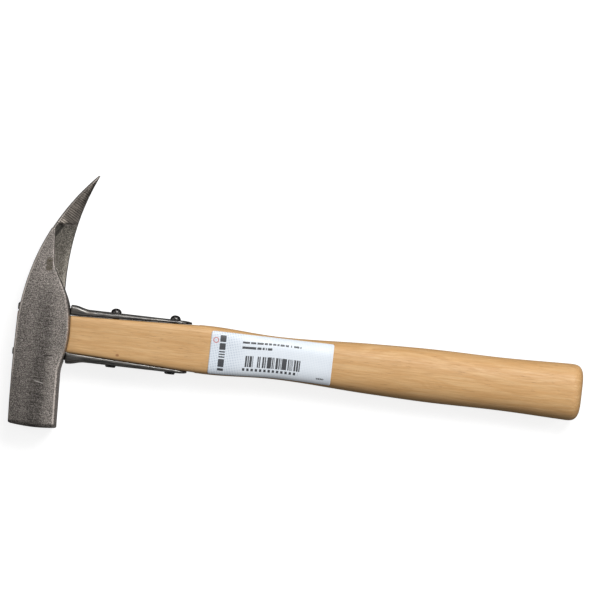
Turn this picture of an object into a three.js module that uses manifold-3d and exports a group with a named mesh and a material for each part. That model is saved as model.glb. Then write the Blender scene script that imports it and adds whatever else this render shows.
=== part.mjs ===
// Carpenter's formwork hammer: a forged head with a short nail claw beside a long pick, on a hickory
// handle that two riveted steel straps tie to the head.
// Millimetres, +Z up. The hammer lies on one cheek: +X runs along the handle, away from the head, and
// +Y from the striking face to the pick. The origin is on the resting cheek, under the eye's centre.
import * as THREE from "three";
import { mergeVertices } from "three/addons/utils/BufferGeometryUtils.js";
import Module from "manifold-3d";

const wasm = await Module();
wasm.setup();

// ---------------------------------------------------------------- driving dimensions
const GAP = 0.25; // clearance between pieces that bear on each other
const THICKNESS = 28; // of the head, cheek to cheek: the poll is square
const MID = THICKNESS / 2; // height of the handle's axis

const BACK_RADIUS = 138; // the head's back is one arc, from the eye to the tip of the pick
const BACK_X = -16.1; // the back at the eye
const CHEEK_X = 15.9; // the cheek's furthest reach along the handle
const FACE_Y = -56.9; // striking face
const CLAW_TIP_Y = 61.4;
const PICK_TIP = { x: 23, y: 95 };
const FACE_FLAT = 4; // half width of the flat at the middle of the crowned striking face

const EYE = { halfY: 15.7, halfZ: 8.5, corner: 3 };

const SPLIT_Z = 13.1; // the pick lies below this height, the short claw above the notch
const NOTCH = { rootY: 33.5, rootHalf: 0.9, mouthHalf: 3.6, z: 14.8 };
const PICK_TIP_Z = { low: 5.5, high: 7.7 };
const PICK_ROOT_Y = 26; // the pick starts to narrow from both sides here
const PICK_TAPER_Y = 63; // and its upper side falls faster towards the tip from here

const HANDLE_END_X = 319.1;
const TENON_X = -16; // the handle's end shows in the back mouth of the eye
const TENON = { halfY: 10.9, halfZ: 8.35, squareness: 7 };
const SHOULDER_X = 16.2; // where the tenon, clear of the cheeks, starts to swell into the handle
const RING_POINTS = 44;
// Half height (along Y), half thickness (along Z) and squareness of the handle's oval at stations in X.
const HANDLE_STATIONS = [
  { x: 20, halfY: 11.2, halfZ: 9.9, squareness: 8 },
  { x: 60, halfY: 12.8, halfZ: 10.7, squareness: 7 },
  { x: 98, halfY: 14.3, halfZ: 11.3, squareness: 5 },
  { x: 138, halfY: 12.6, halfZ: 10.9, squareness: 3.6 },
  { x: 195, halfY: 14.9, halfZ: 12.2, squareness: 2.6 },
  { x: 235, halfY: 15.8, halfZ: 12.9, squareness: 2.4 },
  { x: 266, halfY: 15.6, halfZ: 13.0, squareness: 2.4 },
  { x: 312, halfY: 16.75, halfZ: MID, squareness: 2.5 },
];
const BUTT_ROUND = { length: 8.5, inset: 9.5 }; // the butt's edge is rounded to a small flat

const STRAP = { seatY: 11.05, seatSlope: 0.039, halfZ: 8.4, tipX: 86.6, tipLength: 8 };
const STRAP_CROWN_Y = 15.75; // crown of the straps beyond the shoulder
const TONGUE = { halfZ: 6.4, sideY: 14.1, crownY: 15.5 }; // the part of a strap inside the eye
const TONGUE_END_X = { upper: -16.4, lower: -16.8 };
const STRAP_SHOULDER = { x: 15.1, crownY: 17.45, endX: 25 }; // it bears against the cheeks

const RIVET = { shankR: 2, headR: 3.05, headHeight: 2.2, tailR: 3.1, tailHeight: 0.75 };
const RIVET_X = [41.4, 76.5];

// The wooden wedge spreads the tenon across its thickness; the steel one crosses it and spreads both.
const WOOD_WEDGE = {
  widthAlong: "y",
  halfWidth: 10.3,
  half: 1.9,
  tipHalf: 0.35,
  endX: -16.4,
  tipX: 7,
};
const STEEL_WEDGE = {
  widthAlong: "z",
  halfWidth: 6,
  half: 1.5,
  tipHalf: 0.3,
  endX: -16.3,
  tipX: -2,
};

const LABEL = { startX: 98.8, endX: 171.2, topY: 11.9, height: 27.2, lift: 0.2, thickness: 0.2 };

// ---------------------------------------------------------------- materials
function material(color, roughness, metalness) {
  return new THREE.MeshStandardMaterial({ color, roughness, metalness });
}
const headSteel = material(0x6c6763, 0.5, 0.9);
const strapSteel = material(0x4b4a4a, 0.42, 0.9);
const rivetSteel = material(0x3c3c3c, 0.4, 0.9);
const wedgeSteel = material(0x77736e, 0.5, 0.9);
const hickory = material(0xd4ac79, 0.55, 0);
const wedgeWood = material(0xb98f5c, 0.7, 0);
const labelPaper = material(0xe4eaf1, 0.5, 0);

// ---------------------------------------------------------------- solids from three.js geometry
function toSolid(geometry) {
  const bare = geometry.clone();
  bare.deleteAttribute("normal");
  bare.deleteAttribute("uv");
  const merged = mergeVertices(bare, 1e-4);
  return new wasm.Manifold(
    new wasm.Mesh({
      numProp: 3,
      vertProperties: merged.attributes.position.array,
      triVerts: new Uint32Array(merged.index.array),
    }),
  );
}

function toGeometry(solid) {
  const mesh = solid.getMesh();
  const geometry = new THREE.BufferGeometry();
  geometry.setAttribute("position", new THREE.BufferAttribute(mesh.vertProperties, 3));
  geometry.setIndex(new THREE.BufferAttribute(mesh.triVerts, 1));
  const faceted = geometry.toNonIndexed();
  faceted.computeVertexNormals();
  return faceted;
}

function piece(name, solid, look) {
  const mesh = new THREE.Mesh(toGeometry(solid), look);
  mesh.name = name;
  return mesh;
}

// A closed body through rings of the same number of points, with flat fans over its two ends. The
// rings run anticlockwise as seen from the end they advance towards.
function loft(rings) {
  const count = rings[0].length;
  const points = rings.flat();
  const faces = skinFaces(rings);
  const last = (rings.length - 1) * count;
  const startCentre = points.push(centroid(rings[0])) - 1;
  const endCentre = points.push(centroid(rings.at(-1))) - 1;
  for (let i = 0; i < count; i++) {
    const next = (i + 1) % count;
    faces.push(startCentre, next, i, endCentre, last + i, last + next);
  }
  return closedSolid(points, faces);
}

// The triangles of the skin through the rings, open at both ends.
function skinFaces(rings) {
  const count = rings[0].length;
  const faces = [];
  for (let ring = 0; ring + 1 < rings.length; ring++) {
    for (let i = 0; i < count; i++) {
      const a = ring * count + i;
      const b = ring * count + ((i + 1) % count);
      faces.push(a, b, b + count, a, b + count, a + count);
    }
  }
  return faces;
}

function closedSolid(points, faces) {
  const geometry = new THREE.BufferGeometry().setFromPoints(points);
  geometry.setIndex(faces);
  return toSolid(geometry);
}

function centroid(ring) {
  const sum = ring.reduce((total, p) => total.add(p), new THREE.Vector3());
  return sum.divideScalar(ring.length);
}

// An outline in the XY plane, extruded along Z from low to high.
function prismZ(shape, low, high) {
  const options = { depth: high - low, bevelEnabled: false, curveSegments: 14 };
  return toSolid(new THREE.ExtrudeGeometry(shape, options).translate(0, 0, low));
}

// An outline whose x and y are the part's Y and Z, extruded along X from low to high.
function prismX(shape, low, high) {
  const options = { depth: high - low, bevelEnabled: false, curveSegments: 6 };
  const turn = new THREE.Matrix4().set(0, 0, 1, low, 1, 0, 0, 0, 0, 1, 0, 0, 0, 0, 0, 1);
  return toSolid(new THREE.ExtrudeGeometry(shape, options).applyMatrix4(turn));
}

function polygon(points) {
  return new THREE.Shape(points.map(([x, y]) => new THREE.Vector2(x, y)));
}

// ---------------------------------------------------------------- head
function backX(y) {
  return BACK_X + BACK_RADIUS - Math.sqrt(BACK_RADIUS ** 2 - y ** 2);
}

// The back edge, one arc from a height on the claw side down to the eye, then the poll's gentle taper.
function drawBack(shape, fromY) {
  const angle = Math.PI - Math.asin(fromY / BACK_RADIUS);
  shape.absarc(BACK_X + BACK_RADIUS, 0, BACK_RADIUS, angle, Math.PI, false);
  shape.bezierCurveTo(BACK_X, -24, BACK_X + 0.7, -44, BACK_X + 1.6, FACE_Y + 2.6);
  shape.quadraticCurveTo(BACK_X + 1.8, FACE_Y + 1, BACK_X + 3.9, FACE_Y + 0.8);
  shape.quadraticCurveTo(-9, FACE_Y, -FACE_FLAT, FACE_Y);
}

// From the striking face along the poll and round the cheek, as far as the end of its bulge.
function drawFront(shape) {
  shape.moveTo(FACE_FLAT, FACE_Y);
  shape.quadraticCurveTo(9, FACE_Y, 12, FACE_Y + 1);
  shape.quadraticCurveTo(13.9, FACE_Y + 1.4, 13.9, FACE_Y + 3.6);
  shape.lineTo(12.6, -24);
  shape.bezierCurveTo(12.4, -17, CHEEK_X, -13, CHEEK_X, 0);
  shape.bezierCurveTo(CHEEK_X, 14.5, 12.8, 20.6, 9.6, 26);
}

function clawSideShape() {
  const shape = new THREE.Shape();
  drawFront(shape);
  shape.bezierCurveTo(5.4, 33.2, 2, 37, 1.7, 44);
  shape.quadraticCurveTo(0.9, 51, 0.2, CLAW_TIP_Y - 0.5);
  shape.lineTo(backX(CLAW_TIP_Y) + 0.7, CLAW_TIP_Y);
  drawBack(shape, CLAW_TIP_Y - 0.6);
  return shape;
}

function pickSideShape() {
  const shape = new THREE.Shape();
  drawFront(shape);
  shape.quadraticCurveTo(8.4, 64, PICK_TIP.x, PICK_TIP.y);
  drawBack(shape, PICK_TIP.y - 0.3);
  return shape;
}

function eyeShape() {
  const { halfY, halfZ, corner } = EYE;
  const [low, high] = [MID - halfZ, MID + halfZ];
  const shape = new THREE.Shape();
  shape.moveTo(-halfY + corner, low);
  shape.lineTo(halfY - corner, low);
  shape.absarc(halfY - corner, low + corner, corner, -Math.PI / 2, 0, false);
  shape.absarc(halfY - corner, high - corner, corner, 0, Math.PI / 2, false);
  shape.absarc(-halfY + corner, high - corner, corner, Math.PI / 2, Math.PI, false);
  shape.absarc(-halfY + corner, low + corner, corner, Math.PI, 1.5 * Math.PI, false);
  return shape;
}

// The V between the claw and the pick, where a nail is gripped.
function notchShape() {
  const { rootY, rootHalf, mouthHalf, z } = NOTCH;
  const mouthY = CLAW_TIP_Y;
  const above = mouthY + 4;
  return polygon([
    [rootY, z - rootHalf],
    [mouthY, z - mouthHalf],
    [above, z - mouthHalf],
    [above, z + mouthHalf],
    [mouthY, z + mouthHalf],
    [rootY, z + rootHalf],
  ]);
}

// What the pick keeps, seen along X: it narrows from both cheeks to its tip.
function pickTaperShape() {
  const top = PICK_TIP.y + 1;
  return polygon([
    [FACE_Y - 1, 0],
    [PICK_ROOT_Y, 0],
    [top, PICK_TIP_Z.low],
    [top, PICK_TIP_Z.high],
    [PICK_TAPER_Y, SPLIT_Z - 1.1],
    [PICK_ROOT_Y, SPLIT_Z],
    [PICK_ROOT_Y, SPLIT_Z + 1],
    [FACE_Y - 1, SPLIT_Z + 1],
  ]);
}

function makeHead() {
  const reach = 40;
  const pickSide = prismZ(pickSideShape(), 0, SPLIT_Z + 1).intersect(
    prismX(pickTaperShape(), -reach, reach),
  );
  const body = prismZ(clawSideShape(), SPLIT_Z - 0.5, THICKNESS).add(pickSide);
  return body
    .subtract(prismX(notchShape(), -reach, reach))
    .subtract(prismX(eyeShape(), -reach, reach));
}

// ---------------------------------------------------------------- handle
// Half sizes of the handle between stations, smooth and with no overshoot (cubic Hermite).
function handleSize(x, key) {
  const stations = HANDLE_STATIONS;
  let i = stations.findIndex((s) => s.x >= x);
  if (i === 0) return stations[0][key];
  if (i < 0) return stations.at(-1)[key];
  const [a, b] = [stations[i - 1], stations[i]];
  const slope = (b[key] - a[key]) / (b.x - a.x);
  const slopeInto = (j) => {
    if (j <= 0 || j >= stations.length - 1) return slope;
    const [p, q, r] = [stations[j - 1], stations[j], stations[j + 1]];
    const left = (q[key] - p[key]) / (q.x - p.x);
    const right = (r[key] - q[key]) / (r.x - q.x);
    return left * right > 0 ? (2 * left * right) / (left + right) : 0;
  };
  const t = (x - a.x) / (b.x - a.x);
  const h = THREE.MathUtils.smoothstep(t, 0, 1);
  const bend = (b.x - a.x) * t * (1 - t) * (slopeInto(i - 1) * (1 - t) - slopeInto(i) * t);
  return a[key] + (b[key] - a[key]) * h + bend;
}

// A superellipse round the handle's axis: squareness 2 is an ellipse, more is a rounded rectangle.
function ovalPoint(x, angle, halfY, halfZ, squareness) {
  const power = 2 / squareness;
  const [c, s] = [Math.cos(angle), Math.sin(angle)];
  const y = halfY * Math.sign(c) * Math.abs(c) ** power;
  const z = MID + halfZ * Math.sign(s) * Math.abs(s) ** power;
  return new THREE.Vector3(x, y, z);
}

function ovalRing(x, halfY, halfZ, squareness) {
  const step = (2 * Math.PI) / RING_POINTS;
  const ring = [];
  for (let i = 0; i < RING_POINTS; i++) ring.push(ovalPoint(x, i * step, halfY, halfZ, squareness));
  return ring;
}

function handleRing(x, inset = 0) {
  const size = (key) => handleSize(x, key);
  return ovalRing(x, size("halfY") - inset, size("halfZ") - inset, size("squareness"));
}

function handleRings() {
  const { halfY, halfZ, squareness } = TENON;
  const rings = [
    ovalRing(TENON_X, halfY - 0.6, halfZ - 0.6, squareness),
    ovalRing(TENON_X + 0.6, halfY, halfZ, squareness),
    ovalRing(SHOULDER_X, halfY, halfZ, squareness),
  ];
  const first = HANDLE_STATIONS[0].x;
  const roundFrom = HANDLE_END_X - BUTT_ROUND.length;
  const spans = 34;
  for (let i = 0; i <= spans; i++) rings.push(handleRing(first + ((roundFrom - first) * i) / spans));
  const turns = 5;
  for (let i = 1; i <= turns; i++) {
    const turn = (Math.PI / 2) * (i / turns);
    const x = roundFrom + BUTT_ROUND.length * Math.sin(turn);
    const inset = BUTT_ROUND.inset * (1 - Math.cos(turn)) ** 1.6;
    rings.push(handleRing(x, inset));
  }
  return rings;
}

// ---------------------------------------------------------------- straps and rivets
function seatY(x) {
  return STRAP.seatY + Math.max(0, x - SHOULDER_X) * STRAP.seatSlope;
}

// A strap's cross-section: flat on the wood, with straight sides and a low crown. side is +1 for the
// strap on the pick's side of the handle and -1 for the one on the poll's side.
function strapRing(x, halfZ, innerY, sideY, crownY, side) {
  const arcPoints = 6;
  const ring = [
    [halfZ, innerY],
    [-halfZ, innerY],
  ];
  for (let i = 0; i <= arcPoints; i++) {
    const across = -1 + (2 * i) / arcPoints;
    ring.push([halfZ * across, sideY + (crownY - sideY) * (1 - across ** 2)]);
  }
  const points = ring.map(([z, y]) => new THREE.Vector3(x, side * y, MID + z));
  return side < 0 ? points.reverse() : points;
}

function crownY(x) {
  const fall = THREE.MathUtils.smoothstep(x, STRAP_SHOULDER.x + 2, STRAP_SHOULDER.endX);
  return THREE.MathUtils.lerp(STRAP_SHOULDER.crownY, STRAP_CROWN_Y, fall);
}

function strapRings(side, endX) {
  const tongue = (x) =>
    strapRing(x, TONGUE.halfZ, STRAP.seatY + GAP, TONGUE.sideY, TONGUE.crownY, side);
  const bar = (x, width = 1, thin = 0) => {
    const inner = seatY(x) + GAP;
    const crown = THREE.MathUtils.lerp(crownY(x), inner + 0.9, thin);
    const edge = THREE.MathUtils.lerp(inner, crown, 0.68 - 0.25 * thin);
    return strapRing(x, STRAP.halfZ * width, inner, edge, crown, side);
  };
  const rings = [tongue(endX), tongue(STRAP_SHOULDER.x - 0.2)];
  const tipFrom = STRAP.tipX - STRAP.tipLength;
  for (const run of [0, 2, 4, 6, 8, 10, 25, 45]) rings.push(bar(STRAP_SHOULDER.x + run));
  rings.push(bar(tipFrom));
  const turns = 5;
  for (let i = 1; i <= turns; i++) {
    const turn = (Math.PI / 2) * (i / (turns + 0.5));
    rings.push(bar(tipFrom + STRAP.tipLength * Math.sin(turn), Math.cos(turn), 1 - Math.cos(turn)));
  }
  return rings;
}

// The wood that is planed away where a strap lies flat on the handle.
function seatSolid(side) {
  const halfZ = STRAP.halfZ + 3;
  const clear = 30;
  const pastTip = 4.5;
  const cut = (x) => strapRing(x, halfZ, seatY(x), clear, clear + 1, side);
  return loft([cut(TENON_X - 5), cut(SHOULDER_X), cut(STRAP.tipX + pastTip)]);
}

// A round body about the Y direction through the rivet's place, from a profile of [radius, y].
function turnedY(profile, x) {
  const points = profile.map(([radius, y]) => new THREE.Vector2(radius, y));
  return toSolid(new THREE.LatheGeometry(points, 20).translate(x, 0, MID));
}

function rivetSolid(x) {
  const { shankR, headR, headHeight, tailR, tailHeight } = RIVET;
  const seat = STRAP_CROWN_Y + GAP;
  const profile = [
    [0, -seat - tailHeight],
    [tailR * 0.8, -seat - tailHeight],
    [tailR, -seat - tailHeight * 0.4],
    [tailR * 0.97, -seat],
    [shankR, -seat],
    [shankR, seat],
  ];
  const domeSteps = 5;
  for (let i = 0; i <= domeSteps; i++) {
    const turn = (Math.PI / 2) * (i / domeSteps);
    profile.push([headR * Math.cos(turn), seat + headHeight * Math.sin(turn)]);
  }
  profile[profile.length - 1][0] = 0;
  return turnedY(profile, x);
}

function rivetHole(x) {
  const radius = RIVET.shankR + GAP;
  const reach = 20;
  return turnedY([[0, -reach], [radius, -reach], [radius, reach], [0, reach]], x);
}

// ---------------------------------------------------------------- wedges
// A blade that tapers towards the handle, its width along Y or along Z. With a clearance it is the
// kerf that takes the blade, open at the handle's end.
function wedgeSolid({ widthAlong, halfWidth, half, tipHalf, endX, tipX }, clearance = 0) {
  const past = clearance > 0 ? 3 : 0;
  const corners = [[-1, -1], [1, -1], [1, 1], [-1, 1]];
  const ring = (x, halfThickness) => {
    const thick = halfThickness + clearance;
    const wide = halfWidth + clearance;
    const [y, z] = widthAlong === "y" ? [wide, thick] : [thick, wide];
    return corners.map(([i, j]) => new THREE.Vector3(x, i * y, MID + j * z));
  };
  return loft([ring(endX - past, half), ring(tipX + clearance, tipHalf)]);
}

// ---------------------------------------------------------------- label
// Points across the label at one station: equal steps of length round the upper side of the handle,
// starting below its pick-side edge.
function labelRow(x, steps, lift) {
  const size = (key) => handleSize(x, key);
  const at = (angle) =>
    ovalPoint(x, angle, size("halfY") + lift, size("halfZ") + lift, size("squareness"));
  const fine = 400;
  const row = [];
  let travelled = 0;
  let previous = null;
  for (let i = 0; i <= fine && row.length <= steps; i++) {
    const point = at((Math.PI * i) / fine);
    if (point.y > LABEL.topY) continue;
    if (previous) travelled += point.distanceTo(previous);
    previous = point;
    if (travelled >= (LABEL.height * row.length) / steps - 1e-6) row.push(point);
  }
  return row;
}

function labelSolid() {
  const steps = 12;
  const spans = 16;
  const rings = [];
  for (let i = 0; i <= spans; i++) {
    const x = THREE.MathUtils.lerp(LABEL.startX, LABEL.endX, i / spans);
    const under = labelRow(x, steps, LABEL.lift);
    const over = labelRow(x, steps, LABEL.lift + LABEL.thickness);
    rings.push([...over, ...under.reverse()]);
  }
  return sheet(rings, steps + 1);
}

// Like loft, for a thin bent sheet: each end is closed by quads between the upper and lower rows.
function sheet(rings, across) {
  const count = rings[0].length;
  const faces = skinFaces(rings);
  const last = (rings.length - 1) * count;
  for (let i = 0; i + 1 < across; i++) {
    const [over, overNext] = [i, i + 1];
    const [under, underNext] = [count - 1 - i, count - 2 - i];
    faces.push(over, under, underNext, over, underNext, overNext);
    faces.push(last + over, last + underNext, last + under);
    faces.push(last + over, last + overNext, last + underNext);
  }
  return closedSolid(rings.flat(), faces);
}

// ---------------------------------------------------------------- assembly
const holes = RIVET_X.map(rivetHole);
const drilled = (solid) => holes.reduce((rest, hole) => rest.subtract(hole), solid);

const seats = [1, -1].map(seatSolid);
const handleBlank = seats.reduce((rest, seat) => rest.subtract(seat), loft(handleRings()));
const kerf = wedgeSolid({ ...WOOD_WEDGE, halfWidth: TENON.halfY + 1 }, GAP);
const steelKerf = wedgeSolid(STEEL_WEDGE, GAP);
const handle = drilled(handleBlank).subtract(kerf).subtract(steelKerf);

const hammer = new THREE.Group();
hammer.add(
  piece("head", makeHead(), headSteel),
  piece("handle", handle, hickory),
  piece("upper_strap", drilled(loft(strapRings(1, TONGUE_END_X.upper))), strapSteel),
  piece("lower_strap", drilled(loft(strapRings(-1, TONGUE_END_X.lower))), strapSteel),
  piece("front_rivet", rivetSolid(RIVET_X[0]), rivetSteel),
  piece("rear_rivet", rivetSolid(RIVET_X[1]), rivetSteel),
  piece("wooden_wedge", wedgeSolid(WOOD_WEDGE).subtract(steelKerf), wedgeWood),
  piece("steel_wedge", wedgeSolid(STEEL_WEDGE), wedgeSteel),
  piece("label", labelSolid(), labelPaper),
);

export default hammer;
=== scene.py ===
import math

import bpy
import numpy as np
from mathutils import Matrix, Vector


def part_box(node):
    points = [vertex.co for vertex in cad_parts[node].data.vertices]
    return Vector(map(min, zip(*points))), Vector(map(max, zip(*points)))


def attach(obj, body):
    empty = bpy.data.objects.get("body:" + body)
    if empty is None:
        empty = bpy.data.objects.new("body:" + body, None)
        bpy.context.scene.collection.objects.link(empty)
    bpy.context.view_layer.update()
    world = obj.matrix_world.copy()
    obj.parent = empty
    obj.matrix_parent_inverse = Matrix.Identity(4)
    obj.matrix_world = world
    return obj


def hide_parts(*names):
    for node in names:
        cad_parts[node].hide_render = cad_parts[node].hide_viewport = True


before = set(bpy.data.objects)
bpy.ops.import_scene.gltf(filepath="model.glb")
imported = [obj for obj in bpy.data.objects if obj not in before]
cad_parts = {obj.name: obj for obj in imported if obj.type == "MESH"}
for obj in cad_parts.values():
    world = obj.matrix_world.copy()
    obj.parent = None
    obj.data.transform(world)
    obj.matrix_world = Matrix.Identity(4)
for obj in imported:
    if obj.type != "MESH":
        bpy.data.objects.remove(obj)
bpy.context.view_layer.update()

import openvdb
from mathutils import Vector

MM = 0.001


def box_mm(node):
    """The lowest and highest corners of a CAD node, in millimetres."""
    low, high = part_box(node)
    return np.array(low) / MM, np.array(high) / MM


HEAD_LOW, HEAD_HIGH = box_mm("head")
HANDLE_LOW, HANDLE_HIGH = box_mm("handle")
STRAP_END_X = box_mm("upper_strap")[1][0]
LABEL_LOW, LABEL_HIGH = box_mm("label")
THICKNESS = HEAD_HIGH[2]
MID = THICKNESS / 2  # height of the handle's axis


# ------------------------------------------------------------------ meshes
def make_piece(name, vertices, faces, material, stands_for):
    """A smooth-shaded mesh that rides on the hammer in place of one CAD node."""
    mesh = bpy.data.meshes.new(name)
    mesh.from_pydata([tuple(v) for v in np.asarray(vertices) * MM], [], [tuple(f) for f in faces])
    mesh.validate()
    mesh.polygons.foreach_set("use_smooth", [True] * len(mesh.polygons))
    mesh.materials.append(material)
    piece = bpy.data.objects.new(name, mesh)
    bpy.context.scene.collection.objects.link(piece)
    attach(piece, "root")
    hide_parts(stands_for)
    return piece


def loft(rings, closed_ends=True):
    """Vertices and faces of a skin through rings that run anticlockwise about the way they advance."""
    count = len(rings[0])
    vertices = [point for ring in rings for point in ring]
    faces = []
    for ring in range(len(rings) - 1):
        for i in range(count):
            a, b = ring * count + i, ring * count + (i + 1) % count
            faces.append((a, b, b + count, a + count))
    if closed_ends:
        for ring, start in ((rings[0], 0), (rings[-1], (len(rings) - 1) * count)):
            centre = len(vertices)
            vertices.append(np.mean(ring, axis=0))
            for i in range(count):
                corner = (start + i, start + (i + 1) % count)
                faces.append((centre, *(corner if start else corner[::-1])))
    return vertices, faces


def smoothstep(value, low, high):
    t = np.clip((value - low) / (high - low), 0, 1)
    return t * t * (3 - 2 * t)


def bezier(p0, p1, p2, p3, steps=40):
    t = np.linspace(0, 1, steps)[:, None]
    p0, p1, p2, p3 = map(np.array, (p0, p1, p2, p3))
    return (1 - t) ** 3 * p0 + 3 * (1 - t) ** 2 * t * p1 + 3 * (1 - t) * t**2 * p2 + t**3 * p3


# ------------------------------------------------------------------ head
BACK_RADIUS = 138
BACK_X = HEAD_LOW[0]
CHEEK_X = 15.9
CHEEK_DRAWN_IN = 1.5  # from mid thickness to the cheeks' flats
FACE_Y = HEAD_LOW[1]
PICK_TIP = (HEAD_HIGH[0], HEAD_HIGH[1])
CLAW_TIP_Y = 61.4
PICK_ROOT_Y = 26  # where the pick parts from the cheek
SPLIT_Z = 13.1  # where the claw's half of the thickness meets the pick's
NOTCH_ROOT_Y, NOTCH_Z = 33.5, 14.8
NOTCH_ROOT_HALF, NOTCH_MOUTH_HALF = 0.9, 3.6
EYE_HALF_Y, EYE_HALF_Z, EYE_CORNER = 15.7, 8.5, 3
GRIND_Y = 63.5  # the pick is freshly ground from here to its tip
GRIND_FADE = (62.6, 64.6)
GROOVE_START, GROOVE_RUN, GROOVE_Z = (-0.4, 56.3), (3.2, 6.9), 12.2
FACE_BEVEL = 1.7
BACK_BEVEL = 1.0
BEVEL_SLOPE = 0.55
EDGE_ROUND, CUT_ROUND = 0.5, 0.4
HEAD_GRID_STEP = 0.45
SLOPE_STEP = 0.02  # for the slope of a distance


class Edge:
    """A side of the head's outline, as x for each y, with the distance from it to a point."""

    def __init__(self, *pieces):
        points = np.concatenate(pieces)
        points = points[np.argsort(points[:, 1], kind="stable")]
        self.y = np.linspace(points[0, 1], points[-1, 1], 800)
        self.x = np.interp(self.y, points[:, 1], points[:, 0])
        self.lean = 1 / np.hypot(1, np.gradient(self.x, self.y))

    def at(self, y):
        return np.interp(y, self.y, self.x)

    def beyond(self, x, y):
        """How far a point is past the edge on its +X side."""
        return (x - self.at(y)) * np.interp(y, self.y, self.lean)


def back_edge():
    y = np.linspace(0, PICK_TIP[1] + 1, 200)
    arc = np.stack([BACK_X + BACK_RADIUS - np.sqrt(BACK_RADIUS**2 - y**2), y], axis=1)
    poll = bezier((BACK_X, 0), (BACK_X, -24), (BACK_X + 0.7, -44), (BACK_X + 1.75, FACE_Y - 1))
    return Edge(poll, arc)


PICK_ROOT = (9.6, PICK_ROOT_Y)
POLL_AND_CHEEK = (
    bezier((14.0, FACE_Y - 1), (13.6, -46), (13.1, -36), (12.6, -24)),
    bezier((12.6, -24), (12.4, -17), (CHEEK_X, -13), (CHEEK_X, 0)),
    bezier((CHEEK_X, 0), (CHEEK_X, 14.5), (12.8, 20.6), PICK_ROOT),
)


def claw_edge():
    claw = bezier(PICK_ROOT, (5.4, 33.2), (2, 37), (1.7, 44))
    tip = bezier((1.7, 44), (1.2, 49), (0.6, 56), (0.1, CLAW_TIP_Y + 1))
    return Edge(*POLL_AND_CHEEK, claw, tip)


def pick_edge():
    # A quadratic curve, raised to a cubic, from the cheek to the tip.
    start, bend, end = (np.array(p) for p in (PICK_ROOT, (8.4, 64), PICK_TIP))
    curve = bezier(start, start + (bend - start) * 2 / 3, end + (bend - end) * 2 / 3, end)
    return Edge(*POLL_AND_CHEEK, curve)


BACK, CLAW_FRONT, PICK_FRONT = back_edge(), claw_edge(), pick_edge()
CHEEK_EDGE = Edge(*POLL_AND_CHEEK)


def inside_all(distances, radius):
    """The distance to a body that lies inside every surface, with its edges rounded."""
    over = sum(np.maximum(d + radius, 0) ** 2 for d in distances)
    deepest = distances[0]
    for d in distances[1:]:
        deepest = np.maximum(deepest, d)
    return np.minimum(deepest, -radius) + np.sqrt(over)


def bevelled(first, second, width, slope=1.0):
    """The meeting of two surfaces, cut back by a flat that reaches width into the first one."""
    flat = (first + slope * (second + width)) / np.sqrt(1 + slope**2)
    return np.maximum(np.maximum(first, second), flat)


def waves(x, y, z, length, seed):
    """Smooth unevenness between -1 and 1, with bumps about that long."""
    turns = np.random.default_rng(seed).uniform(0, 2 * math.pi, (4, 4))
    total = 0
    for i, (a, b, c, start) in enumerate(turns):
        direction = np.array([math.sin(a) * math.cos(b), math.sin(a) * math.sin(b), math.cos(a)])
        dx, dy, dz = direction * (2 * math.pi / length) * (1 + 0.37 * i)
        total = total + np.sin(x * dx + y * dy + z * dz + start + 0.6 * np.sin(y * dx + c))
    return total / 4


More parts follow.
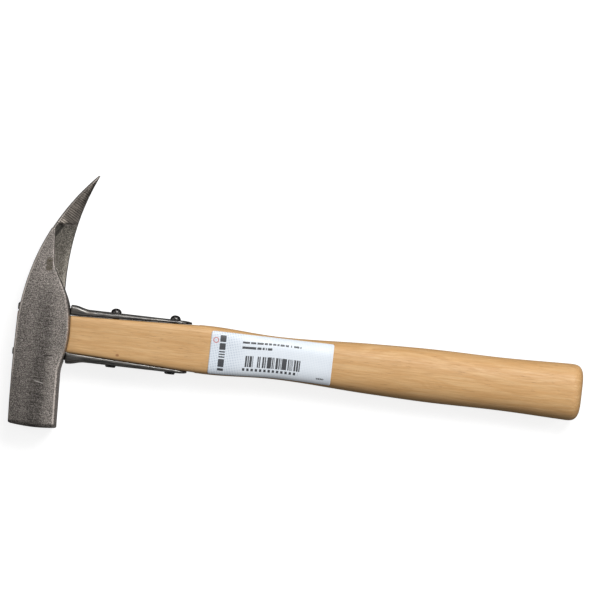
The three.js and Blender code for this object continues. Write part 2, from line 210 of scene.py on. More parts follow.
def head_distance(x, y, z):
    """How far a point is outside the forged head; below zero inside it."""
    across = x / 15
    crown = 0.6 * across**2
    low_cheek = crown - z
    high_cheek = z - THICKNESS + crown + 2.0 * smoothstep(y, 14, CLAW_TIP_Y + 12) ** 1.2
    from_mid = ((z - MID) / MID) ** 2
    back = -BACK.beyond(x, y) + 0.25 * from_mid
    face = FACE_Y - y + 0.85 * (x / 13) ** 2 + 0.5 * from_mid
    drawn_in = CHEEK_DRAWN_IN * from_mid * (1 - smoothstep(y, 12, 28))

    claw_front = CLAW_FRONT.beyond(x, y) + drawn_in
    claw_tip = y - CLAW_TIP_Y + 0.12 * (x + 0.6) ** 2
    high_side = bevelled(high_cheek, face, FACE_BEVEL)
    claw_bevel = 0.9 - 0.8 * smoothstep(y, 20, 36)
    claw_side = bevelled(high_side, claw_front, claw_bevel, BEVEL_SLOPE)
    claw_side = bevelled(claw_side, back, BACK_BEVEL, BEVEL_SLOPE)
    claw = inside_all([claw_side, claw_tip, face, SPLIT_Z - EDGE_ROUND - z], EDGE_ROUND)

    pick_front = PICK_FRONT.beyond(x, y) + drawn_in
    middle = (BACK.at(y) + PICK_FRONT.at(y)) / 2
    half = np.maximum((PICK_FRONT.at(y) - BACK.at(y)) / 2, 0.8)
    roof = smoothstep(y, GRIND_Y - 6, PICK_TIP[1] - 4)
    dome = np.clip((x - middle) / half, -1.3, 1.3) ** 2 * roof * np.where(x > middle, 1, 0.6)
    top = np.interp(y, [PICK_ROOT_Y, GRIND_Y, PICK_TIP[1] + 1], [SPLIT_Z, NOTCH_Z - 3.5, 7.9])
    bottom = np.interp(y, [PICK_ROOT_Y, PICK_TIP[1] + 1], [0, 5.4])
    half_depth = (top - bottom) / 2
    fall = dome * half_depth * 0.62  # from the pick's ridge to its sides
    pick_top = np.where(y < PICK_ROOT_Y, z - SPLIT_Z - 1, z - top + fall)
    pick_bottom = np.where(y < PICK_ROOT_Y, low_cheek, bottom - z + fall + crown * (1 - roof))
    pick_end = y - PICK_TIP[1] + 0.1
    low_side = bevelled(pick_bottom, face, FACE_BEVEL)
    low_side = bevelled(low_side, pick_front, 0.9, BEVEL_SLOPE)
    low_side = bevelled(low_side, back, BACK_BEVEL, BEVEL_SLOPE)
    edge = bevelled(pick_top, pick_front, 2.8, 0.42 * (1 - smoothstep(y, 50, 68)))
    pick = inside_all([low_side, edge, face, pick_end], EDGE_ROUND)

    body = np.minimum(claw, pick)
    opening = np.interp(y, [NOTCH_ROOT_Y, CLAW_TIP_Y], [NOTCH_ROOT_HALF, NOTCH_MOUTH_HALF])
    notch = np.maximum(np.abs(z - NOTCH_Z) - opening, NOTCH_ROOT_Y - y)
    notch = np.maximum(notch, y - CLAW_TIP_Y - 3)
    # The cutter that opened the notch left a groove that widens toward the pick's back edge.
    gx, gy = x - GROOVE_START[0], y - GROOVE_START[1]
    t = np.clip((gx * GROOVE_RUN[0] + gy * GROOVE_RUN[1]) / np.dot(GROOVE_RUN, GROOVE_RUN), 0, 1)
    off_x, off_y = gx - GROOVE_RUN[0] * t, gy - GROOVE_RUN[1] * t
    groove = np.sqrt(off_x**2 + off_y**2 + (z - GROOVE_Z) ** 2) - 0.4 - 1.3 * t
    body = inside_all([body, -notch, -groove], CUT_ROUND)

    corner_y = np.abs(y) - (EYE_HALF_Y - EYE_CORNER)
    corner_z = np.abs(z - MID) - (EYE_HALF_Z - EYE_CORNER)
    eye = np.hypot(np.maximum(corner_y, 0), np.maximum(corner_z, 0)) - EYE_CORNER
    eye = eye + np.minimum(np.maximum(corner_y, corner_z), 0)
    body = inside_all([body, -eye], CUT_ROUND)
    forging = 0.035 * waves(x, y, z, 17, 3) + 0.02 * waves(x, y, z, 6.5, 5)
    return body - forging - 0.04


def surface_of(distance, low, high, step):
    """Points and quads of a body's surface, from its distance on a grid, settled onto the surface."""
    axes = [np.arange(a - 3 * step, b + 4 * step, step) for a, b in zip(low, high)]
    x, y, z = np.meshgrid(*axes, indexing="ij", sparse=True)
    field = np.broadcast_to(distance(x, y, z), [len(a) for a in axes])
    grid = openvdb.FloatGrid(3 * step)
    grid.copyFromArray(np.ascontiguousarray(field, dtype=np.float32))
    points, quads = grid.convertToQuads(isovalue=0.0)
    points = points * step + np.array([a[0] for a in axes])
    for _ in range(3):
        here = distance(*points.T)
        rises = [distance(*(points + d).T) - here for d in np.eye(3) * SLOPE_STEP]
        slope = np.stack(rises, axis=1) / SLOPE_STEP
        size = np.maximum((slope**2).sum(axis=1), 0.25)
        points = points - slope * np.clip(here / size, -0.3 * step, 0.3 * step)[:, None]
    return points, quads


def edge_wear_and_glint(distance, points, reach):
    """From 0 on flats and in hollows to 1 on the sharpest edges, which the head's material paints
    bright: partly rubbed metal, partly painted highlights.
    """
    around = 0
    for offset in np.concatenate([np.eye(3), -np.eye(3)]) * reach:
        around = around + distance(*(points + offset).T)
    return smoothstep(around / reach, 0.3, 1.2)


def make_head(material):
    points, quads = surface_of(head_distance, HEAD_LOW, HEAD_HIGH, HEAD_GRID_STEP)
    # wear: how sharp each edge is, for the bright edges that the material paints, partly rubbed metal
    # and partly painted highlights.
    wear = edge_wear_and_glint(head_distance, points, 0.5)
    points = np.clip(points, HEAD_LOW, HEAD_HIGH)
    head = make_piece("forged_head", points, quads, material, "head")
    x, y, z = points.T
    from_front = -np.where(z > NOTCH_Z, CLAW_FRONT.beyond(x, y), PICK_FRONT.beyond(x, y))
    measures = {"wear": wear, "from_front": from_front, "from_back": BACK.beyond(x, y)}
    for name, values in measures.items():
        head.data.attributes.new(name, "FLOAT", "POINT").data.foreach_set("value", values)
    return head


# ------------------------------------------------------------------ handle
SHOULDER_X = 16.2
SHOULDER_LENGTH = 0.35
SHOULDER_FADE_X = 40
TENON_HALF_Y, TENON_HALF_Z, TENON_SQUARENESS = 10.9, 8.35, 7
BUTT_ROUND_LENGTH, BUTT_ROUND_INSET = 8.5, 9.5
RING_POINTS = 180
SEAT_HALF_Y, SEAT_RISE = 11.05, 0.039  # half height of the straps' seat, and its rise along the handle
# x, half height, half thickness and squareness of the handle's oval.
HANDLE_STATIONS = np.array(
    [
        (20, 11.2, 9.9, 8),
        (60, 12.8, 10.7, 7),
        (98, 14.3, 11.3, 5),
        (138, 12.6, 10.9, 3.6),
        (195, 14.9, 12.2, 2.6),
        (235, 15.8, 12.9, 2.4),
        (266, 15.6, 13.0, 2.4),
        (312, HANDLE_HIGH[1], MID, 2.5),
    ]
)


def handle_size(x):
    """Half height, half thickness and squareness at x: smooth between stations, with no overshoot."""
    at, sizes = HANDLE_STATIONS[:, 0], HANDLE_STATIONS[:, 1:]
    i = int(np.clip(np.searchsorted(at, x), 1, len(at) - 1))
    slopes = np.diff(sizes, axis=0) / np.diff(at)[:, None]

    def slope_at(j):
        if j in (0, len(at) - 1):
            return slopes[i - 1]
        left, right = slopes[j - 1], slopes[j]
        both = left * right
        return np.where(both > 0, 2 * both / np.where(both > 0, left + right, 1), 0)

    run = at[i] - at[i - 1]
    t = np.clip((x - at[i - 1]) / run, 0, 1)
    h = t * t * (3 - 2 * t)
    bend = run * t * (1 - t) * (slope_at(i - 1) * (1 - t) - slope_at(i) * t)
    return sizes[i - 1] * (1 - h) + sizes[i] * h + bend


def seat_y(x):
    """Half height of the wood where the straps lie on it."""
    return SEAT_HALF_Y + max(0, x - SHOULDER_X) * SEAT_RISE


def oval(x, half_y, half_z, squareness, angles):
    power = 2 / squareness
    c, s = np.cos(angles), np.sin(angles)
    y = half_y * np.sign(c) * np.abs(c) ** power
    z = MID + half_z * np.sign(s) * np.abs(s) ** power
    return np.stack([np.full_like(y, x), y, z], axis=1)


def even_oval(x, half_y, half_z, squareness):
    """A ring of the oval with its points at equal steps round it."""
    fine = oval(x, half_y, half_z, squareness, np.linspace(0, 2 * math.pi, 1441))
    travelled = np.concatenate([[0], np.cumsum(np.linalg.norm(np.diff(fine, axis=0), axis=1))])
    steps = np.linspace(0, travelled[-1], RING_POINTS, endpoint=False)
    return np.stack([np.interp(steps, travelled, fine[:, k]) for k in range(3)], axis=1)


def handle_rings():
    rings = []
    tenon = (TENON_HALF_Y, TENON_HALF_Z, TENON_SQUARENESS)
    for inset, dx in ((0.9, 0), (0.5, 0.1), (0.2, 0.35), (0, 0.8)):
        rings.append(even_oval(HANDLE_LOW[0] + dx, tenon[0] - inset, tenon[1] - inset, tenon[2]))
    for x in np.linspace(-10, SHOULDER_X, 8):
        rings.append(even_oval(x, *tenon))
    for t in np.linspace(0.15, 0.9, 6):
        ease = smoothstep(t, 0, 1)
        sizes = np.array(tenon) * (1 - ease) + handle_size(20) * ease
        rings.append(even_oval(SHOULDER_X + SHOULDER_LENGTH * t, *sizes))
    round_from = HANDLE_HIGH[0] - BUTT_ROUND_LENGTH
    for x in np.linspace(SHOULDER_X + SHOULDER_LENGTH, round_from, 240):
        rings.append(even_oval(x, *handle_size(x)))
    for turn in np.linspace(0, math.pi / 2, 13)[1:]:
        x = round_from + BUTT_ROUND_LENGTH * math.sin(turn)
        inset = BUTT_ROUND_INSET * (1 - math.cos(turn)) ** 1.6
        size = handle_size(x)
        rings.append(even_oval(x, size[0] - inset, size[1] - inset, size[2]))
    for ring in rings:
        if SHOULDER_X - 0.1 < ring[0, 0] < SHOULDER_FADE_X:
            # The shoulder follows the curved mouth of the eye.
            drawn_in = CHEEK_DRAWN_IN * ((ring[:, 2] - MID) / MID) ** 2
            behind = CHEEK_X - CHEEK_EDGE.at(ring[:, 1]) + drawn_in
            ring[:, 0] -= behind * (1 - smoothstep(ring[0, 0], SHOULDER_X, SHOULDER_FADE_X))
        if ring[0, 0] < STRAP_END_X + 4.5:
            seat = seat_y(ring[0, 0])
            ring[:, 1] = np.clip(ring[:, 1], -seat, seat)
    return rings


def make_handle(material):
    vertices, faces = loft(handle_rings())
    return make_piece("hickory_handle", vertices, faces, material, "handle")


# ------------------------------------------------------------------ straps
STRAP_HALF_Z = 8.4
STRAP_CROWN_Y = 15.75
STRAP_TIP_LENGTH = 8
TONGUE_HALF_Z, TONGUE_CROWN_Y = 6.4, 15.5
STRAP_SHOULDER_X = 14.7
SHOULDER_CROWN_Y = 17.45
SEAT_GAP = 0.12
TONGUE_INNER_Y = SEAT_HALF_Y + SEAT_GAP


def strap_section(half_z, inner, crown, edge_radius):
    """(z, y) round a strap's section: flat below, a low crown above, and round edges between."""
    section = []
    radius = min(edge_radius, (crown - inner) * 0.46)
    foot = min(0.5, radius)
    side_top = crown - 0.35 * (1 if half_z > 3 else half_z / 3)
    for centre_z, centre_y, r, start in (
        (half_z - foot, inner + foot, foot, -90),
        (half_z - radius, side_top - radius, radius, 0),
        (-half_z + radius, side_top - radius, radius, 90),
        (-half_z + foot, inner + foot, foot, 180),
    ):
        for step in range(7):
            angle = math.radians(start + 15 * step)
            section.append((centre_z + r * math.cos(angle), centre_y + r * math.sin(angle)))
        if start == 0:
            for across in np.linspace(0.9, -0.9, 13):
                z = (half_z - radius) * across
                section.append((z, side_top + (crown - side_top) * (1 - across**2)))
    return np.array(section)


def strap_rings(side, end_x):
    rings = []

    def add(x, half_z, inner, crown, radius):
        section = strap_section(half_z, inner, crown, radius)
        z, y = section[:, 0], section[:, 1]
        wear = 0.07 * waves(x, side * y, z, 9, 11) + 0.05 * waves(x, side * y, z, 4, 12)
        outward = smoothstep(y, inner + 0.6, crown)
        y = np.minimum(y + wear * outward, crown)
        ring = np.stack([np.full_like(y, x), side * y, MID + z], axis=1)
        rings.append(ring[::-1] if side > 0 else ring)

    for dx, inset in ((0, 0.5), (0.15, 0.2), (0.45, 0)):
        crown = TONGUE_CROWN_Y - inset
        add(end_x + dx, TONGUE_HALF_Z - inset, TONGUE_INNER_Y + inset, crown, 1.1)
    for x in (-6, 4, 11, STRAP_SHOULDER_X - 0.25):
        add(x, TONGUE_HALF_Z, TONGUE_INNER_Y, TONGUE_CROWN_Y, 1.1)
    for dx, inset in ((-0.05, 0.9), (0, 0.5), (0.2, 0.2), (0.6, 0)):
        x = STRAP_SHOULDER_X + dx
        add(x, STRAP_HALF_Z - inset, seat_y(x) + SEAT_GAP, SHOULDER_CROWN_Y - inset, 1.5)
    tip_from = STRAP_END_X - STRAP_TIP_LENGTH
    for x in np.linspace(STRAP_SHOULDER_X + 1.2, tip_from, 90):
        fall = smoothstep(x, STRAP_SHOULDER_X + 1.5, 26)
        crown = SHOULDER_CROWN_Y * (1 - fall) + (STRAP_CROWN_Y - 0.1) * fall
        add(x, STRAP_HALF_Z, seat_y(x) + SEAT_GAP, crown, 1.8)
    for turn in np.linspace(0, math.pi / 2, 16)[1:-1]:
        x = tip_from + STRAP_TIP_LENGTH * math.sin(turn)
        inner = seat_y(x) + SEAT_GAP
        thin = (1 - math.cos(turn)) ** 1.3
        crown = (STRAP_CROWN_Y - 0.1) * (1 - thin) + (inner + 0.8) * thin
        add(x, STRAP_HALF_Z * max(math.cos(turn), 0.12), inner, crown, 1.5 - 0.9 * thin)
    return rings


def make_strap(name, side, material):
    low, high = box_mm(name)
    vertices, faces = loft(strap_rings(side, low[0]))
    vertices = np.clip(np.array(vertices), low, high)
    piece_name = name.replace("strap", "steel_strap")
    return make_piece(piece_name, vertices, faces, material, name)


# ------------------------------------------------------------------ rivets
SHANK_RADIUS = 2
RIVET_POINTS = 40


def make_rivet(node, material):
    """A round head hammered to a dome above, and a low spread tail below."""
    low, high = box_mm(node)
    x = (low[0] + high[0]) / 2
    radius = (high[0] - low[0]) / 2
    seat = STRAP_CROWN_Y + 0.02
    dome = high[1] - seat
    tail = -seat - low[1]
    profile = []
    for turn in np.linspace(0, math.pi / 2, 13)[:-1]:
        profile.append((radius * math.cos(turn) ** 0.9, seat + dome * math.sin(turn)))
    profile = profile[::-1]
    profile.append((radius * 0.97, seat - 0.35))
    profile += [(SHANK_RADIUS, y) for y in (seat - 0.6, 0, -seat + 0.6)]
    profile += [(radius * 0.96, -seat + 0.3), (radius, -seat - 0.2 * tail)]
    for turn in np.linspace(0.25, math.pi / 2, 7)[:-1]:
        profile.append((radius * (0.72 + 0.28 * math.cos(turn)), -seat - tail * math.sin(turn)))
    profile.append((radius * 0.35, low[1]))
    angles = np.linspace(0, 2 * math.pi, RIVET_POINTS, endpoint=False)
    rings = []
    for r, y in profile:
        level = np.full(RIVET_POINTS, y)
        rings.append(np.stack([x + r * np.cos(angles), level, MID + r * np.sin(angles)], axis=1))
    vertices, faces = loft(rings)
    vertices = np.array(vertices)
    px, py, pz = vertices.T
    facets = 0.1 * waves(px, py, pz, 4.5, 21) * (np.abs(py) > seat)
    vertices[:, 1] += np.minimum(facets * np.sign(py), 0) * np.sign(py)
    vertices = np.clip(vertices, low, high)
    piece_name = node.replace("rivet", "strap_rivet")
    return make_piece(piece_name, vertices, faces, material, node)


# ------------------------------------------------------------------ label
LABEL_LIFT = 0.1
LABEL_THICKNESS = 0.16
LABEL_TOP_Y = LABEL_HIGH[1]
LABEL_HEIGHT = 26.4  # along the sheet, round the wood
LABEL_CORNER = 1.1


def label_row(x, steps, lift):
    """Points at equal steps down the label at x, over the near side of the handle."""
    half_y, half_z, squareness = handle_size(x)
    angles = np.linspace(0, math.pi, 3001)
    points = oval(x, half_y + lift, half_z + lift, squareness, angles)
    points = points[points[:, 1] <= LABEL_TOP_Y]
    travelled = np.concatenate([[0], np.cumsum(np.linalg.norm(np.diff(points, axis=0), axis=1))])
    return np.stack([np.interp(steps, travelled, points[:, k]) for k in range(3)], axis=1)


def make_label(material):
    """A printed sheet with round corners, wrapped over the handle, with its own flat coordinates."""
    start, end = LABEL_LOW[0], LABEL_HIGH[0]
    columns = np.linspace(start, end, 146)
    steps = np.linspace(0, LABEL_HEIGHT, 56)
    vertices, flat = [], []
    for lift in (LABEL_LIFT, LABEL_LIFT + LABEL_THICKNESS):
        for x in columns:
            from_end = min(x - start, end - x)
            inward = max(LABEL_CORNER - from_end, 0)
            pull = LABEL_CORNER - math.sqrt(max(LABEL_CORNER**2 - inward**2, 0))
            down = pull + steps * (LABEL_HEIGHT - 2 * pull) / LABEL_HEIGHT
            curl = 0.12 * smoothstep(2.5 - min(end - x, 2.5), 0, 2.5)
            vertices.extend(label_row(x, down, lift + curl))
            flat.extend((x - start, LABEL_HEIGHT - d) for d in down)
    rows, across = len(columns), len(steps)
    size = rows * across
    faces = []
    for i in range(rows - 1):
        for j in range(across - 1):
            a, b = i * across + j, (i + 1) * across + j
            faces.append((a, b, b + 1, a + 1))
            faces.append((size + a, size + a + 1, size + b + 1, size + b))
    rim = [i * across for i in range(rows)]
    rim += [(rows - 1) * across + j for j in range(1, across)]
    rim += [i * across + across - 1 for i in range(rows - 2, -1, -1)]
    rim += list(range(across - 2, 0, -1))
    for a, b in zip(rim, rim[1:] + rim[:1]):
        faces.append((b, a, size + a, size + b))
    label = make_piece("paper_label", vertices, faces, material, "label")
    layer = label.data.uv_layers.new(name="flat_mm")
    for loop in label.data.loops:
        layer.data[loop.index].uv = flat[loop.vertex_index]
    return label


# ------------------------------------------------------------------ materials
class Shader:
    """One material's node tree, with a short call for each kind of node that it needs."""

    def __init__(self, name, metallic, specular=0.5):
        self.material = bpy.data.materials.new(name)
        self.material.use_nodes = True
        self.tree = self.material.node_tree
        self.surface = self.tree.nodes["Principled BSDF"]
        self.surface.inputs["Metallic"].default_value = metallic
        self.surface.inputs["Specular IOR Level"].default_value = specular

    def put(self, socket, value):
        if isinstance(value, bpy.types.NodeSocket):
            self.tree.links.new(value, socket)
        else:
            socket.default_value = value

    def node(self, kind, inputs=(), **settings):
        made = self.tree.nodes.new("ShaderNode" + kind)
        for key, value in settings.items():
            setattr(made, key, value)
        for key, value in dict(inputs).items():
            self.put(made.inputs[key], value)
        return made

    def math(self, operation, *values):
        return self.node("Math", dict(enumerate(values)), operation=operation).outputs[0]

    def product(self, first, *others):
        for other in others:
            first = self.math("MULTIPLY", first, other)
        return first

    def gap(self, first, second):
        """How far apart two values are."""
        return self.math("ABSOLUTE", self.math("SUBTRACT", first, second))

    def position(self, scale=(1, 1, 1)):
        """The place on the hammer in millimetres, times a scale along each axis."""
        where = self.node("TexCoord").outputs["Object"]
        factors = tuple(s / MM for s in scale)
        return self.node("Mapping", {"Vector": where, "Scale": factors}).outputs[0]

    def axes(self, vector):
        return self.node("SeparateXYZ", {0: vector}).outputs

    def attribute(self, name):
        """A number stored at each of the mesh's points."""
        return self.node("Attribute", attribute_name=name).outputs["Fac"]

    def noise(self, at, scale, detail=3, roughness=0.55, distortion=0):
        inputs = {"Vector": at, "Scale": scale, "Detail": detail, "Roughness": roughness}
        return self.node("TexNoise", {**inputs, "Distortion": distortion}).outputs["Fac"]

    def span(self, value, low, high, out_low=0, out_high=1):
        """Carries low..high onto out_low..out_high, smoothly, and no further."""
        inputs = {0: value, 1: low, 2: high, 3: out_low, 4: out_high}
        return self.node("MapRange", inputs, interpolation_type="SMOOTHSTEP").outputs[0]

    def mix(self, amount, first, second, blend="MIX"):
        made = self.node("Mix", {0: amount, 6: first, 7: second}, data_type="RGBA", blend_type=blend)
        return made.outputs[2]

    def times(self, colour, factor):
        """A colour made lighter or darker by a factor from a socket."""
        if isinstance(colour, tuple):
            colour = colour[:3]
        return self.node("VectorMath", {0: colour, 3: factor}, operation="SCALE").outputs[0]

    def finish(self, colour, roughness, height=None, depth=0.0):
        """Joins the surface's colour, roughness and bumps, depth millimetres deep."""
        self.put(self.surface.inputs["Base Color"], colour)
        self.put(self.surface.inputs["Roughness"], roughness)
        if height is not None:
            bump = self.node("Bump", {"Height": height, "Distance": depth * MM, "Strength": 1.0})
            self.put(self.surface.inputs["Normal"], bump.outputs[0])
        return self.material


def rgb(red, green, blue):
    """A colour picked as 0 to 255 values on a screen, as linear light."""
    linear = [((v / 255 + 0.055) / 1.055) ** 2.4 for v in (red, green, blue)]
    return (*linear, 1)


def head_material():
    s = Shader("forged_steel", metallic=0.9)
    at = s.position()
    x, y, z = s.axes(at)

    # Scale left by the forge, finely pitted, with grinding marks across the poll and cheeks.
    pits = s.noise(at, 2.4, 2, 0.6)
    fine = s.noise(at, 1.3, 2, 0.5)
    marks = s.noise(s.position((0.09, 1.5, 0.8)), 1.0, 2, 0.6)
    from_front, from_back = s.attribute("from_front"), s.attribute("from_back")
    # A darker band down the middle of the poll and cheek is painted shade, standing in for a dark
    # reflection; the grinding marks are stronger in it.
    wobble = s.product(s.noise(s.position((0.1, 0.3, 0.3)), 1.0, 2), 4.0)
    centre = s.gap(s.math("ADD", x, 1.4), wobble)
    shade_band = s.product(s.span(centre, 0, 9, 1, 0), s.span(y, 10, 36, 1, 0.15))
    coarse_grain = s.span(pits, 0.36, 0.64, 0.38, 1.62)
    grain = s.product(coarse_grain, s.span(fine, 0.34, 0.66, 0.64, 1.36))
    streak = s.product(s.math("SUBTRACT", marks, 0.5), s.span(shade_band, 0, 1, 0.6, 2.0))
    # Painted light: the right of the poll is made lighter.
    poll_right_light = s.product(s.span(x, 1, 9), s.span(y, -20, -8, 0.42, 0))
    tone = s.product(
        grain,
        s.math("ADD", 1.0, streak),
        s.span(shade_band, 0, 1, 1.0, 0.66),
        s.span(y, -56, 30, 0.9, 1.22),
        s.math("ADD", poll_right_light, 1.0),
        s.span(y, -57, -51, 0.75, 1.0),
    )
    base = s.times(rgb(126, 120, 115), tone)

    # The inner face of the pick and the notch keep their forge scale, with painted shade that deepens
    # toward the claw's tip and a painted highlight along the pick's front edge.
    ground = s.span(y, *GRIND_FADE)
    unground = s.span(y, *GRIND_FADE, 1, 0)
    inner_face = s.product(s.span(z, 14.3, 15.3, 1, 0), s.span(z, 7, 9))
    notch = s.product(inner_face, s.span(y, 25, 29), unground)
    front_edge_highlight = s.span(y, 46, 60, 1.7, 1.15)
    dark = s.product(s.span(y, 32, 60, 0.82, 0.55), s.span(from_front, 2.8, 0.4, 1, front_edge_highlight))
    base = s.mix(notch, base, s.times(rgb(121, 116, 108), s.product(grain, dark)))

    # Beyond the notch the pick is freshly ground across its axis. Painted light on it: lighter toward
    # its back edge and darker toward its front, a painted highlight along its front edge, and a
    # painted glint near the notch's end.
    along = s.math("ADD", s.product(x, 0.5), s.product(y, 0.866))
    across = s.math("SUBTRACT", s.product(x, 0.866), s.product(y, 0.5))
    turned = s.node("CombineXYZ", {0: along, 1: s.product(across, 0.12), 2: 0.0}).outputs[0]
    scored = s.noise(turned, 1.1, 3, 0.65)
    wave = s.math("SINE", s.math("ADD", s.product(along, 4.8), s.product(scored, 9.0)))
    lines = s.math("ADD", s.product(wave, 0.17), scored)
    share = s.math("DIVIDE", from_back, s.math("ADD", s.math("ADD", from_back, from_front), 0.3))
    front_edge_glint = s.span(from_front, 0.35, 0.05, 0, 0.8)
    right = s.math("ADD", s.span(share, 0.0, 0.8, 1.3, 0.42), front_edge_glint)
    lit = s.span(s.math("ADD", s.gap(y, 65.4), s.gap(x, 4.4)), 1.0, 3.0, 2.2, 1.0)
    ground_marks_and_light = s.product(s.span(lines, 0.3, 0.7, 0.55, 1.45), s.product(right, lit))
    ground_marks_and_light = s.product(ground_marks_and_light, s.span(pits, 0.3, 0.7, 0.85, 1.15))
    base = s.mix(ground, base, s.times(rgb(96, 90, 84), ground_marks_and_light))

    # A painted shadow in the end of the notch, where the claw's tip shades the pick, and an old rust
    # stain at the root of the claw.
    past = s.math("SUBTRACT", s.product(s.math("SUBTRACT", y, 55.0), 0.6), x)
    notch_shadow = s.product(s.span(past, -0.5, 0.2), s.span(y, 53, 55), inner_face)
    notch_shadow = s.product(notch_shadow, s.span(y, 63.6, 64.6, 1, 0), s.span(from_back, 0.35, 0.8, 0, 0.85))
    base = s.mix(notch_shadow, base, rgb(38, 37, 34))
    stain_x = s.span(s.math("ABSOLUTE", s.math("ADD", x, 0.5)), 1.3, 2.3, 1, 0)
    stain_y = s.span(s.gap(y, 39.5), 2.5, 5, 1, 0)
    stain = s.product(stain_x, stain_y, s.span(marks, 0.4, 0.6, 0.45, 0.95))
    base = s.mix(stain, base, rgb(84, 77, 62))

    # A fold in the scale and a bright scratch, both across the poll near the cheek.
    # Each has its y at x = 0, its tilt, the x of its middle, its half length, strength and colour.
    for level, tilt, middle, half, strength, colour in (
        (-14.6, 0.16, 4.4, 1.8, 0.85, rgb(34, 32, 30)),
        (-29.6, -0.22, 1.0, 2.0, 0.8, rgb(190, 184, 178)),
    ):
        from_line = s.gap(y, s.math("ADD", level, s.product(x, tilt)))
        line_end = s.span(s.gap(x, middle), half, half + 1.4, 1, 0)
        line = s.product(s.span(from_line, 0.12, 0.5, 1, 0), line_end)
        base = s.mix(s.product(line, strength), base, colour)

    # Painted light: the poll's side is made brighter than its cheek, and the thin bright lines along
    # the edges are partly rubbed metal and partly painted highlights on the bevels.
    side = s.product(s.span(from_front, 1.9, 1.5), s.span(y, 4, 18, 1, 0))
    base = s.mix(side, base, s.times(base, 1.9))
    wear = s.product(s.attribute("wear"), s.span(pits, 0.35, 0.6, 0.45, 0.95))
    wear = s.product(wear, s.span(y, 14, 36, 0.6, 0.12))
    front_line = s.gap(from_front, 2.0)
    front_line = s.product(s.span(front_line, 0.1, 0.4, 1, 0), s.span(y, -18, -8, 0.55, 0))
    back_line = s.gap(from_back, 0.9)
    back_line = s.product(s.span(back_line, 0.15, 0.5, 1, 0), s.span(y, -34, -20, 0, 0.45))
    wear = s.math("MAXIMUM", wear, s.math("MAXIMUM", front_line, back_line))
    base = s.mix(wear, base, rgb(214, 204, 196))

    roughness = s.span(pits, 0.3, 0.7, 0.36, 0.54)
    height = s.math("ADD", pits, s.product(marks, s.span(shade_band, 0, 1, 0.3, 0.9)))
    height = s.product(height, s.math("SUBTRACT", 1.0, ground))
    height = s.math("ADD", height, s.product(lines, ground))
    return s.finish(base, roughness, height, 0.1)


def strap_material():
    s = Shader("blued_strap_steel", metallic=0.92)
    at = s.position()
    streaks = s.noise(s.position((0.1, 1.1, 1.1)), 1.1, 3, 0.6)
    blotches = s.noise(at, 0.28, 2)
    base = s.mix(s.span(streaks, 0.32, 0.68), rgb(84, 84, 85), rgb(142, 139, 134))
    base = s.mix(s.span(blotches, 0.45, 0.7, 0, 0.5), base, rgb(84, 76, 68))
    x, y, _ = s.axes(at)
    # Painted shade along the upper strap next to the wood, and a painted highlight along the lower
    # strap's edge next to the wood.
    from_seat = s.math("SUBTRACT", s.math("ABSOLUTE", y), s.product(x, SEAT_RISE))
    upper = s.math("GREATER_THAN", y, 0.0)
    upper_seat_shade = s.product(s.span(from_seat, 10.9, 11.7, -0.7, 0), upper)
    lower_seat_highlight = s.product(s.span(from_seat, 10.9, 12.4, 0.9, 0), s.math("SUBTRACT", 1.0, upper))
    base = s.times(base, s.math("ADD", 1.0, s.math("ADD", upper_seat_shade, lower_seat_highlight)))
    roughness = s.span(blotches, 0.3, 0.7, 0.27, 0.38)
    height = s.math("ADD", s.noise(at, 0.5, 2), streaks)
    return s.finish(base, roughness, height, 0.008)


def rivet_material():
    s = Shader("peened_rivet_steel", metallic=0.92)
    at = s.position()
    marks = s.noise(at, 0.8, 3, 0.6)
    base = s.mix(s.span(marks, 0.35, 0.65), rgb(52, 52, 54), rgb(104, 102, 100))
    roughness = s.span(marks, 0.3, 0.7, 0.2, 0.36)
    return s.finish(base, roughness, marks, 0.15)


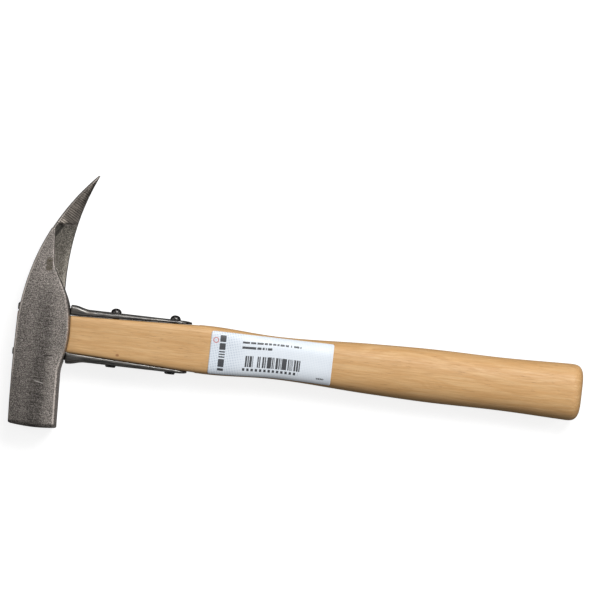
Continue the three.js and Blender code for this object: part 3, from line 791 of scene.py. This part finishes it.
def wood_material(name, light, dark):
    """Hickory: wavering growth rings, fine lengthwise streaks and short dark pores."""
    s = Shader(name, metallic=0, specular=0.4)
    x, y, z = s.axes(s.position())
    drift = s.noise(s.position((0.012, 0.05, 0.05)), 1.0, 2, 0.5)
    pith = s.node("CombineXYZ", {0: 0.0, 1: s.math("ADD", y, 62.0), 2: s.math("ADD", z, 40.0)})
    radius = s.node("VectorMath", {0: pith.outputs[0]}, operation="LENGTH").outputs["Value"]
    radius = s.math("ADD", radius, s.product(drift, 26.0))
    rings = s.node("TexNoise", {"W": radius, "Scale": 0.33, "Detail": 3.0, "Roughness": 0.62},
                   noise_dimensions="1D").outputs["Fac"]
    streaks = s.noise(s.position((0.045, 1.1, 1.1)), 1.0, 4, 0.62)
    fibres = s.noise(s.position((0.1, 3.2, 3.2)), 1.0, 2, 0.5)
    pores = s.noise(s.position((0.15, 2.6, 2.6)), 1.0, 2, 0.5)
    figure = s.product(s.span(rings, 0.34, 0.66), s.span(x, 20, 190, 0.2, 0.5))
    base = s.mix(figure, light, dark)
    base = s.mix(s.span(streaks, 0.3, 0.7, 0, 0.75), base, dark)
    base = s.times(base, s.span(fibres, 0.3, 0.7, 0.93, 1.06))
    # Painted shade on the wood towards the head.
    base = s.times(base, s.span(x, 20, 58, 0.95, 1.0))
    pore_share = s.product(s.span(pores, 0.62, 0.72), s.span(rings, 0.45, 0.65, 0.15, 0.55))
    base = s.mix(pore_share, base, rgb(132, 92, 55))

    # Painted shade along the straps, where the wood meets them, and a small pin knot.
    from_seat = s.math("SUBTRACT", s.math("ABSOLUTE", y), s.product(x, SEAT_RISE))
    strap_gap_shade = s.product(s.span(from_seat, 9.8, 10.6), s.span(x, 84, 91, 1, 0))
    base = s.mix(s.product(strap_gap_shade, 0.75), base, rgb(84, 56, 35))
    away_x = s.math("POWER", s.math("SUBTRACT", x, 45.0), 2.0)
    away_y = s.math("POWER", s.product(s.math("ADD", y, 9.0), 1.3), 2.0)
    knot = s.span(s.math("ADD", away_x, away_y), 0.2, 1.8, 0.7, 0)
    base = s.mix(s.product(knot, s.span(z, 14, 16)), base, rgb(146, 90, 56))
    roughness = s.span(streaks, 0.3, 0.7, 0.42, 0.56)
    height = s.math("SUBTRACT", s.product(fibres, 0.6), s.span(pores, 0.6, 0.74))
    return s.finish(base, roughness, height, 0.05)


def label_material():
    """Coated paper printed with a dot screen, a bar code and plain blocks where words would be."""
    s = Shader("printed_paper", metallic=0, specular=0.5)
    flat = s.node("UVMap", uv_map="flat_mm").outputs[0]
    u, v, _ = s.axes(flat)

    def block(left, right, low, high):
        wide = s.math("COMPARE", u, (left + right) / 2, (right - left) / 2)
        tall = s.math("COMPARE", v, (low + high) / 2, (high - low) / 2)
        return s.product(wide, tall)

    def bars(along, pitch, share):
        """On and off at random in steps of the pitch, on for that share of them."""
        step = s.math("FLOOR", s.math("DIVIDE", along, pitch))
        draw = s.node("TexWhiteNoise", {"W": step}, noise_dimensions="1D").outputs["Value"]
        return s.math("LESS_THAN", draw, share)

    def dashes(along, pitch, dash):
        return s.math("LESS_THAN", s.math("FLOORED_MODULO", along, pitch), dash)

    def cell(along, pitch):
        return s.math("SUBTRACT", s.math("FLOORED_MODULO", s.math("DIVIDE", along, pitch), 1.0), 0.5)

    pitch = 0.95
    from_centre = [s.math("POWER", cell(along, pitch), 2.0) for along in (u, v)]
    dot = s.math("SQRT", s.math("ADD", *from_centre))
    screen = s.product(s.span(dot, 0.2, 0.36, 1, 0), s.span(u, 12, 24, 0.75, 0.2))
    paper = s.mix(s.noise(flat, 0.12, 2), rgb(236, 242, 248), rgb(227, 234, 242))
    base = s.mix(screen, paper, rgb(138, 158, 182))

    # Places on the sheet in millimetres, from its lower left corner, and what fills each.
    lines = (
        (block(18.8, 53.4, 20.5, 21.7), bars(u, 0.62, 0.72)),
        (block(18.8, 36.4, 17.4, 18.8), bars(s.math("ADD", u, 40.0), 0.62, 0.8)),
        (block(21.2, 55.0, 6.8, 13.4), bars(u, 0.36, 0.56)),
        (block(19.0, 52.6, 4.4, 6.0), dashes(u, 2.5, 1.4)),
        (block(63.6, 68.2, 3.6, 4.6), dashes(u, 1.0, 0.75)),
        (block(5.4, 8.9, 1.8, 24.2), bars(v, 0.78, 0.72)),
    )
    for area, pattern in lines:
        base = s.mix(s.product(area, pattern, 0.93), base, rgb(34, 34, 38))
    away_u = s.math("POWER", s.math("SUBTRACT", u, 3.0), 2.0)
    away_v = s.math("POWER", s.math("SUBTRACT", v, 21.0), 2.0)
    away = s.math("SQRT", s.math("ADD", away_u, away_v))
    ring = s.math("COMPARE", away, 1.45, 0.32)
    base = s.mix(s.product(ring, 0.75), base, rgb(196, 92, 88))
    return s.finish(base, 0.42)


# ------------------------------------------------------------------ assembly
head_steel = head_material()
strap_steel = strap_material()
rivet_steel = rivet_material()
hickory = wood_material("oiled_hickory", rgb(219, 179, 128), rgb(198, 150, 95))
make_head(head_steel)
make_handle(hickory)
make_strap("upper_strap", 1, strap_steel)
make_strap("lower_strap", -1, strap_steel)
make_rivet("front_rivet", rivet_steel)
make_rivet("rear_rivet", rivet_steel)
make_label(label_material())
wedge_wood = wood_material("wedge_wood", rgb(196, 152, 104), rgb(160, 118, 76))
for wedge, material in (("wooden_wedge", wedge_wood), ("steel_wedge", strap_steel)):
    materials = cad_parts[wedge].data.materials
    materials.clear()
    materials.append(material)


# ------------------------------------------------------------------ floor, lights and camera
def make_floor():
    bpy.ops.mesh.primitive_plane_add(size=12, location=(0.15, 0, 0))
    floor = bpy.context.object
    floor.name = "studio_floor"
    paint = bpy.data.materials.new("floor_white")
    paint.use_nodes = True
    surface = paint.node_tree.nodes["Principled BSDF"]
    surface.inputs["Base Color"].default_value = (0.37, 0.37, 0.37, 1)
    surface.inputs["Emission Color"].default_value = (1, 1, 1, 1)
    surface.inputs["Emission Strength"].default_value = 0.82
    surface.inputs["Roughness"].default_value = 0.9
    surface.inputs["Specular IOR Level"].default_value = 0.1
    floor.data.materials.append(paint)
    floor.visible_diffuse = False  # the floor throws no light back up, so undersides stay dark
    floor.visible_glossy = False


def add_softbox(name, place, aim, size, power):
    lamp = bpy.data.lights.new(name, "AREA")
    lamp.shape = "RECTANGLE"
    lamp.size, lamp.size_y = size
    lamp.energy = power
    box = bpy.data.objects.new(name, lamp)
    box.location = place
    box.rotation_euler = (Vector(aim) - Vector(place)).to_track_quat("-Z", "Y").to_euler()
    bpy.context.scene.collection.objects.link(box)


def make_camera():
    """Straight down onto the near cheek, turned a little, with the hammer across the frame."""
    distance = 4.0
    frame_width = 0.3536  # what the frame takes in at the handle's axis
    turn = math.radians(6.6)
    aim = Vector((0.1480, 0.0356, MID * MM))
    camera = bpy.data.objects.new("camera", bpy.data.cameras.new("camera"))
    camera.data.sensor_width = 36
    camera.data.lens = camera.data.sensor_width * distance / frame_width
    camera.location = aim + Vector((0, 0, distance))
    camera.rotation_euler = (0, 0, turn)
    bpy.context.scene.collection.objects.link(camera)
    bpy.context.scene.camera = camera


make_floor()
add_softbox("key_softbox", (0.48, 0.85, 1.26), (0.13, 0, 0), (0.9, 0.8), 22)
add_softbox("left_softbox", (-1.0, 0.2, 0.65), (0.0, 0, 0), (0.6, 0.3), 2.6)
add_softbox("right_softbox", (1.1, 0.15, 0.75), (0.0, 0, 0), (0.6, 0.25), 3.2)
add_softbox("back_softbox", (0.1, 1.3, 0.3), (0.05, 0, 0), (1.2, 0.2), 1.6)
add_softbox("near_softbox", (0.15, -1.3, 0.12), (0.1, 0, 0), (1.2, 0.2), 0.7)
world = bpy.data.worlds.new("studio")
world.use_nodes = True
world.node_tree.nodes["Background"].inputs["Color"].default_value = (1, 1, 1, 1)
world.node_tree.nodes["Background"].inputs["Strength"].default_value = 0.09
bpy.context.scene.world = world
bpy.context.scene.view_settings.view_transform = "Standard"
make_camera()
